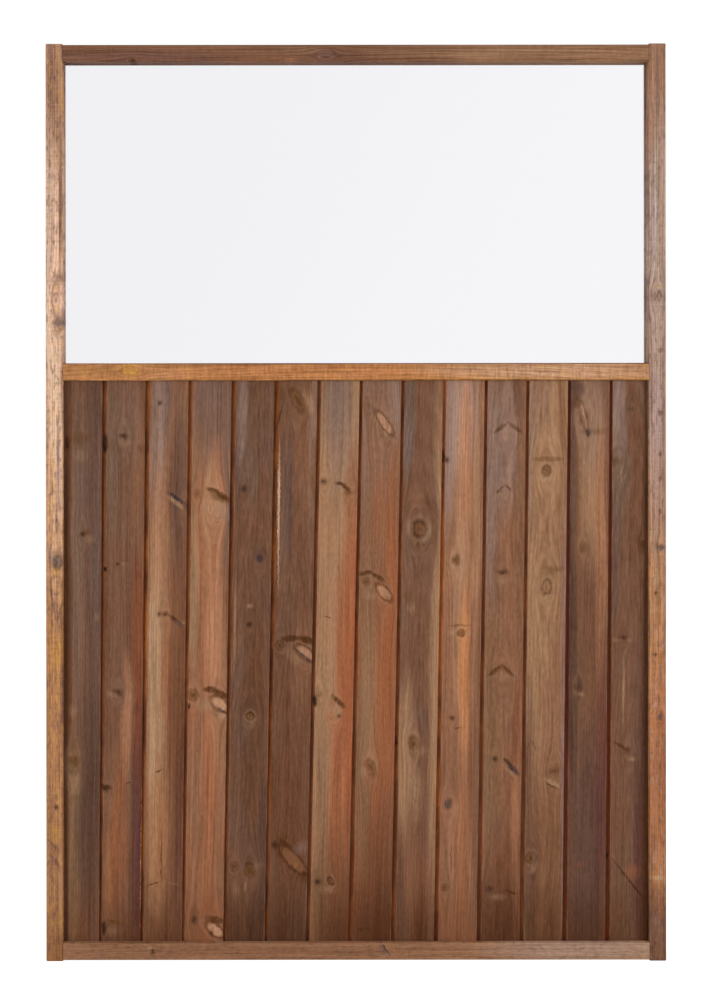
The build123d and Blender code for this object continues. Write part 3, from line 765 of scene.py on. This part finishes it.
dressFrame("rail_top", base="warmBrown", blotch="purpleBrown", rings=railRings, figure=1.4, chatter=0.7,
           seed=23, centre=(0.0, 1.7565), turn=pi / 2, marks=[
    band("honey", 560, 53, 30, 420, 0.7), band("chestnut", 150, 55, 30, 400, 0.5),
    band("purpleBrown", 120, 57, 20, 300, 0.6), smudge("purpleBrown", 116, 59, 44, 7, 0.7),
    spot("pin", 133, 61, 6, 4, bend=4), smudge("purpleBrown", 200, 60, 30, 6, 0.7),
    smudge("plumGrey", 326, 55, 36, 13, 0.8, bend=6), smudge("orange", 290, 60, 14, 4, 0.7),
    smudge("purpleBrown", 420, 60, 60, 6, 0.5), smudge("purpleBrown", 530, 47, 70, 5, 0.5),
    smudge("halo", 300, 50, 60, 8, 0.4), smudge("halo", 480, 56, 80, 8, 0.4),
])
dressFrame("rail_middle", base="orangeTan", blotch="orange", second="rust",
           flecks=(("yellowStain", 0.22), ("redBrown", 0.25)), rings=middleRings, figure=1.35, chatter=1.7,
           seed=24, centre=(0.0, 1.1395), turn=pi / 2, marks=[
    band("yellowStain", 440, 379, 3.5, 560, 0.6), band("orange", 350, 372, 30, 500, 0.8),
    band("tan", 540, 370, 24, 300, 0.75), band("pinkTan", 560, 371, 20, 320, 0.3),
    smudge("yellowStain", 130, 371, 26, 15, bend=5), smudge("tan", 165, 374, 40, 12, 0.5),
    # The umber and darkBrown bands along the rail's lower and upper edges are painted shade on its rounded
    # arrises
    band("umber", 356, 380.5, 3.5, 1400, 0.7), band("darkBrown", 356, 363, 3, 1400, 0.9),
])
dressFrame("rail_bottom", base="tan", blotch="chestnut", flecks=(("pinkGrey", 0.3), ("darkBrown", 0.3)),
           rings=dict(railRings, strength=0.4), figure=1.2, chatter=0.5, seed=25, centre=(0.0, 0.0185),
           turn=pi / 2, marks=[
    band("chestnut", 250, 950, 40, 900, 0.9), band("ashPink", 590, 950, 34, 260, 0.6),
    spot("pin", 153, 952, 4, 4, bend=2), smudge("paleHoney", 150, 948, 8, 5),
    smudge("blueGrey", 383, 950, 8, 18, 0.6, tilt=-35), streak("umber", 380, 941, 391, 957, 2, 0.9),
    smudge("orangeTan", 394, 950, 7, 6, 0.8),
])

print("stage 6: pane")

# Float glass, polished by the tin bath: clear, with a faint grey from the front
floatGlass = dict(tint="#f5f4f7", roughness=0.0, ior=1.5)
material, tree = newMaterial("clearFloatGlass")
shader = addNode(tree, "BsdfPrincipled", {
    "Base Color": paint(floatGlass["tint"]), "Roughness": floatGlass["roughness"],
    "IOR": floatGlass["ior"], "Transmission Weight": 1.0,
})
addNode(tree, "OutputMaterial", {0: shader})
dress("pane", material)

print("stage 7: screws")

# Cold-formed stainless steel: dull bright, with the fine grit that the dies leave
stainless = dict(
    colour="#b8b6b0", metallic=1.0, roughness=0.32, roughnessSpread=0.2,
    gritMm=0.35, reliefMm=0.05, reliefStrength=0.2,
)
material, tree = newMaterial("coldFormedStainlessSteel")
place = addNode(tree, "TexCoord").outputs["Object"]
gritScale = 1 / (stainless["gritMm"] * mm)
scaled = addNode(tree, "VectorMath", {0: place, 1: (gritScale,) * 3}, operation="MULTIPLY")
grit = addNode(tree, "TexNoise", {"Vector": scaled, "Scale": 1.0, "Detail": 2.0})
steelRough = addNode(tree, "Math", {
    0: grit, 1: stainless["roughnessSpread"],
    2: stainless["roughness"] - stainless["roughnessSpread"] / 2,
}, operation="MULTIPLY_ADD")
steelRelief = addNode(tree, "Bump", {
    "Height": grit, "Strength": stainless["reliefStrength"],
    "Distance": stainless["reliefMm"] * mm,
})
shader = addNode(tree, "BsdfPrincipled", {
    "Base Color": paint(stainless["colour"]), "Metallic": stainless["metallic"],
    "Roughness": steelRough, "Normal": steelRelief,
})
addNode(tree, "OutputMaterial", {0: shader})

screw = dict(
    headRadius=5.0, shankRadius=2.5, length=80.0, sink=0.5, tip=8.0,  # mm
    rim=0.3, rimRound=0.6, pointRadius=0.4, pointLength=0.6,
    recessPoints=6, recessOuter=2.6, recessInner=1.9, recessDepth=2.2, lipDepth=0.25,
    floorScale=0.75, wallScale=0.97, lipScale=1.08,  # the recess narrows towards its floor
    sides=36,
    faceX=0.6,  # in metres, like the rows: a height, and the depths of the screws there
    rows=((0.0185, (-0.011, 0.011)), (1.1395, (0.0,)), (1.7565, (-0.011, 0.011))),
)


def makeScrew(mesh, matrix):
    sides = screw["sides"]

    def ringOf(radiusAt, depth):
        ring = []
        for step in range(sides):
            turn = 2 * pi * step / sides
            place = Vector((radiusAt(turn) * cos(turn), radiusAt(turn) * sin(turn), depth))
            ring.append(mesh.verts.new(matrix @ (place * mm)))
        return ring

    def star(scale):
        middle = (screw["recessOuter"] + screw["recessInner"]) / 2
        swing = (screw["recessOuter"] - screw["recessInner"]) / 2
        return lambda turn: (middle + swing * cos(screw["recessPoints"] * turn)) * scale

    head, shank = screw["headRadius"], screw["shankRadius"]
    neck = -screw["sink"] - (head - shank)
    end = -screw["sink"] - screw["length"]
    top = -screw["sink"]
    rings = [
        ringOf(star(screw["floorScale"]), top - screw["recessDepth"]),
        ringOf(star(screw["wallScale"]), top - screw["lipDepth"]),
        ringOf(star(screw["lipScale"]), top),
        ringOf(lambda turn: head - screw["rim"], top),
        ringOf(lambda turn: head, top - screw["rim"] * screw["rimRound"]),
        ringOf(lambda turn: shank, neck),
        ringOf(lambda turn: shank, end + screw["tip"]),
        ringOf(lambda turn: screw["pointRadius"], end + screw["pointLength"]),
    ]
    for first, second in zip(rings, rings[1:]):
        for i in range(sides):
            j = (i + 1) % sides
            mesh.faces.new((first[i], second[i], second[j], first[j]))
    mesh.faces.new(rings[0])
    mesh.faces.new(list(reversed(rings[-1])))


for side, node in ((-1, "screws_left"), (1, "screws_right")):
    mesh = bmesh.new()
    for z, depths in screw["rows"]:
        for y in depths:
            outward = Matrix.Rotation(side * pi / 2, 4, "Y")
            makeScrew(mesh, Matrix.Translation((side * screw["faceX"], y, z)) @ outward)
    bmesh.ops.recalc_face_normals(mesh, faces=mesh.faces)
    data = bpy.data.meshes.new(node + "Dressed")
    mesh.to_mesh(data)
    mesh.free()
    piece = bpy.data.objects.new(node + "Dressed", data)
    scene.collection.objects.link(piece)
    data.materials.append(material)
    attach(piece, "root")
    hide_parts(node)

print("stage 8: studio")

studio = dict(
    softboxWatts=44, softboxWide=0.7, softboxHigh=1.9, softboxFar=3.2,
    softboxAngle=radians(48), softboxZ=1.25, backWatts=32,  # the back is lit more softly
    topWatts=15, topWide=2.0, topZ=3.5,  # overhead, for the upper faces of the rails
    glossPlace=(1.0, 0.0, -0.5), glossDark=-0.15, glossPale=0.2, glossLevel=0.05,
    worldLevel=0.27, floorSize=16.0, floorTone="#e6e6e6", floorGlow=0.8,
    aimZ=0.95,
)
target = Vector((0, 0, studio["aimZ"]))


def addLamp(place, wide, high, watts):
    light = bpy.data.lights.new("softbox", "AREA")
    light.shape = "RECTANGLE"
    light.size, light.size_y, light.energy = wide, high, watts
    lamp = bpy.data.objects.new("softbox", light)
    lamp.location = place
    lamp.rotation_euler = (target - lamp.location).to_track_quat("-Z", "Y").to_euler()
    lamp.visible_camera = lamp.visible_glossy = lamp.visible_transmission = False
    scene.collection.objects.link(lamp)


for side, facing in ((-1, -1), (1, -1), (-1, 1), (1, 1)):
    x = side * studio["softboxFar"] * sin(studio["softboxAngle"])
    y = facing * studio["softboxFar"] * cos(studio["softboxAngle"])
    addLamp((x, y, studio["softboxZ"]), studio["softboxWide"], studio["softboxHigh"],
            studio["softboxWatts"] if facing < 0 else studio["backWatts"])
addLamp((0, 0, studio["topZ"]), studio["topWide"], studio["topWide"], studio["topWatts"])


def seenDirectly(tree):  # 1 where the eye sees, also in a mirror or through the pane
    path = addNode(tree, "LightPath")
    seen = path.outputs["Is Camera Ray"]
    for other in ("Is Glossy Ray", "Is Transmission Ray"):
        seen = addNode(tree, "Math", {0: seen, 1: path.outputs[other]},
                       operation="MAXIMUM")
    return seen


world = bpy.data.worlds.new("paleStudio")
world.use_nodes = True
world.node_tree.nodes.clear()
scene.world = world
tree = world.node_tree
level = addNode(tree, "MapRange", {0: seenDirectly(tree), 1: 0.0, 2: 1.0,
                                   3: studio["worldLevel"], 4: 1.0})
# In the glass the studio is dimmer to the left and above, without an edge
direction = addNode(tree, "TexCoord").outputs["Generated"]
along = addNode(tree, "VectorMath", {0: direction, 1: studio["glossPlace"]},
                operation="DOT_PRODUCT").outputs["Value"]
dimmed = addNode(tree, "MapRange", {
    0: along, 1: studio["glossDark"], 2: studio["glossPale"], 3: studio["glossLevel"], 4: 1.0,
}, interpolation_type="SMOOTHSTEP")
path = addNode(tree, "LightPath")
mirrored = addNode(tree, "Math", {
    0: path.outputs["Is Glossy Ray"], 1: path.outputs["Is Transmission Ray"],
}, operation="SUBTRACT", use_clamp=True)
dimmed = addNode(tree, "Mix", {0: mirrored, 2: 1.0, 3: dimmed})  # 2 and 3 are plain numbers
level = addNode(tree, "Math", {0: level, 1: dimmed}, operation="MULTIPLY")
background = addNode(tree, "Background", {0: (1, 1, 1, 1), 1: level})
addNode(tree, "OutputWorld", {0: background})

# Rolled paper, matt white: it glows only to the eye, and keeps the panel's shadow
material, tree = newMaterial("paleStudioPaper")
glow = addNode(tree, "Math", {0: seenDirectly(tree), 1: studio["floorGlow"]},
               operation="MULTIPLY")
paper = addNode(tree, "BsdfDiffuse", {0: paint(studio["floorTone"])})
shine = addNode(tree, "Emission", {0: (1, 1, 1, 1), 1: glow})
both = addNode(tree, "AddShader", {0: paper, 1: shine})
addNode(tree, "OutputMaterial", {0: both})

half = studio["floorSize"] / 2
data = bpy.data.meshes.new("studioFloor")
data.from_pydata([(-half, -half, 0), (half, -half, 0), (half, half, 0), (-half, half, 0)],
                 [], [(0, 1, 2, 3)])
floor = bpy.data.objects.new("studioFloor", data)
data.materials.append(material)
scene.collection.objects.link(floor)
